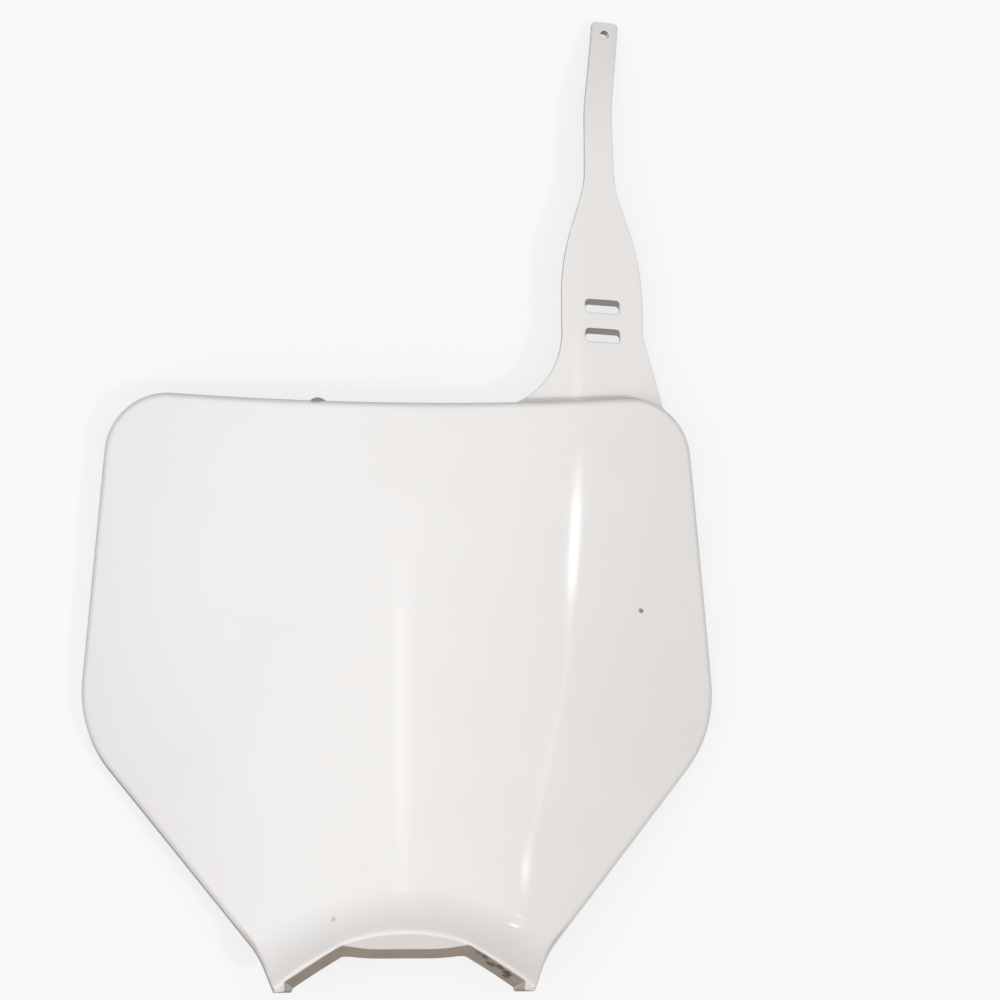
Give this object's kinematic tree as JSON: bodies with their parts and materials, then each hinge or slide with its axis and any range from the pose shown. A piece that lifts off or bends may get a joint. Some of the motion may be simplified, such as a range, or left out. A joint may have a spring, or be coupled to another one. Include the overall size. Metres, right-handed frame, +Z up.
{
  "type": "racing number board",
  "caption": "White bowed shield for a race number on a motorbike's fork, with a turned-back rim, a notched foot and a slotted strap that wraps the handlebar.",
  "frame": {"origin": "under the middle of the board's box, on the surface it lies on", "axes": "X across the board with the strap on +X, +Y from the notched foot to the tip of the strap, +Z up out of the front face"},
  "size_m": [0.253, 0.4042, 0.0434],
  "materials": {
    "white_plastic": "gloss, as moulded"
  },
  "bodies": {
    "root": {"number_board": "white_plastic"}
  },
  "joints": []
}
